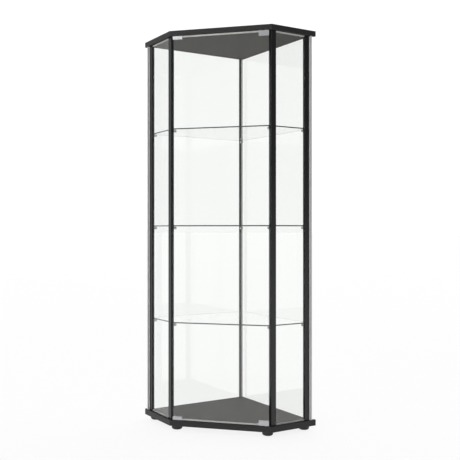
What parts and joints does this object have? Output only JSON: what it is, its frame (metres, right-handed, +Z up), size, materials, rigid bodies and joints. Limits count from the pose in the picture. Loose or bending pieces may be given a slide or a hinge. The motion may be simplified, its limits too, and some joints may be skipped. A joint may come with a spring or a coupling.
{
  "type": "corner curio cabinet",
  "caption": "Tall five-sided corner display cabinet with glass walls, glass shelves, black posts and panels, and one pivot-hinged glass door.",
  "frame": {"origin": "on the floor, at the centre of the outline seen from above", "axes": "+Z up, the door faces -Y, +X to the right of someone facing the door from -Y"},
  "size_m": [0.792, 0.5368, 1.76],
  "materials": {
    "black_laminate": "satin black laminated board",
    "black_metal": "satin black powder coat",
    "clear_glass": "clear float glass with polished edges",
    "grey_vinyl": "translucent grey vinyl",
    "chrome": "polished chrome",
    "peg_steel": "nickel-plated steel",
    "insert_brass": "turned brass",
    "white_nylon": "moulded nylon",
    "black_plastic": "moulded black plastic"
  },
  "bodies": {
    "cabinet": {"top_panel": "black_laminate", "base_panel": "black_laminate", "post_left": "black_metal", "shelf_peg_lower_left": "peg_steel", "shelf_peg_middle_left": "peg_steel", "shelf_peg_upper_left": "peg_steel", "foot_insert_left": "insert_brass", "post_right": "black_metal", "shelf_peg_lower_right": "peg_steel", "shelf_peg_middle_right": "peg_steel", "shelf_peg_upper_right": "peg_steel", "foot_insert_right": "insert_brass", "post_front_left": "black_metal", "shelf_peg_lower_front_left": "peg_steel", "shelf_peg_middle_front_left": "peg_steel", "shelf_peg_upper_front_left": "peg_steel", "foot_insert_front_left": "insert_brass", "post_front_right": "black_metal", "shelf_peg_lower_front_right": "peg_steel", "shelf_peg_middle_front_right": "peg_steel", "shelf_peg_upper_front_right": "peg_steel", "foot_insert_front_right": "insert_brass", "post_back": "black_metal", "shelf_peg_lower_back": "peg_steel", "shelf_peg_middle_back": "peg_steel", "shelf_peg_upper_back": "peg_steel", "foot_insert_back": "insert_brass", "wall_glass_left": "clear_glass", "side_glass_left": "clear_glass", "wall_edge_strip_left": "grey_vinyl", "side_strip_lower_left": "grey_vinyl", "side_strip_upper_left": "grey_vinyl", "wall_glass_right": "clear_glass", "side_glass_right": "clear_glass", "wall_edge_strip_right": "grey_vinyl", "side_strip_lower_right": "grey_vinyl", "side_strip_upper_right": "grey_vinyl", "shelf_lower": "clear_glass", "shelf_middle": "clear_glass", "shelf_upper": "clear_glass", "hinge_bush_lower": "white_nylon", "latch_body_lower": "black_plastic", "hinge_bush_upper": "white_nylon", "latch_body_upper": "black_plastic"},
    "door": {"door_glass": "clear_glass", "hinge_clip_lower": "chrome", "hinge_clip_upper": "chrome", "strike_clip_lower": "chrome", "strike_clip_upper": "chrome", "hinge_pin_lower": "peg_steel", "hinge_pin_upper": "peg_steel", "door_strip_lower": "grey_vinyl", "door_strip_upper": "grey_vinyl"},
    "plunger_lower": {"latch_plunger_lower": "peg_steel"},
    "plunger_upper": {"latch_plunger_upper": "peg_steel"},
    "foot_front_left": {"foot_front_left": "black_plastic"},
    "foot_front_right": {"foot_front_right": "black_plastic"},
    "foot_left": {"foot_left": "black_plastic"},
    "foot_right": {"foot_right": "black_plastic"},
    "foot_back": {"foot_back": "black_plastic"}
  },
  "joints": [
    {"name": "door_hinge", "type": "hinge", "parent": "cabinet", "child": "door", "pos_m": [0.2, -0.26126, 0.046], "axis": [0, 0, 1], "range_deg": [0, 105]},
    {"name": "plunger_lower", "type": "slide", "parent": "cabinet", "child": "plunger_lower", "axis": [0, -1, 0], "range_m": [0, 0.008]},
    {"name": "plunger_upper", "type": "slide", "parent": "cabinet", "child": "plunger_upper", "axis": [0, -1, 0], "range_m": [0, 0.008]},
    {"name": "foot_turn_front_left", "type": "hinge", "parent": "cabinet", "child": "foot_front_left", "pos_m": [-0.2024, -0.23286, 0], "axis": [0, 0, 1], "continuous": true},
    {"name": "foot_turn_front_right", "type": "hinge", "parent": "cabinet", "child": "foot_front_right", "pos_m": [0.2024, -0.23286, 0], "axis": [0, 0, 1], "continuous": true},
    {"name": "foot_turn_left", "type": "hinge", "parent": "cabinet", "child": "foot_left", "pos_m": [-0.34261, -0.09688, 0], "axis": [0, 0, 1], "continuous": true},
    {"name": "foot_turn_right", "type": "hinge", "parent": "cabinet", "child": "foot_right", "pos_m": [0.34261, -0.09688, 0], "axis": [0, 0, 1], "continuous": true},
    {"name": "foot_turn_back", "type": "hinge", "parent": "cabinet", "child": "foot_back", "pos_m": [0, 0.22367, 0], "axis": [0, 0, 1], "continuous": true}
  ],
  "couplings": [
    {"joint": "plunger_lower", "follows": "door_hinge", "m_per_rad": 0.00435},
    {"joint": "plunger_upper", "follows": "door_hinge", "m_per_rad": 0.00435}
  ]
}
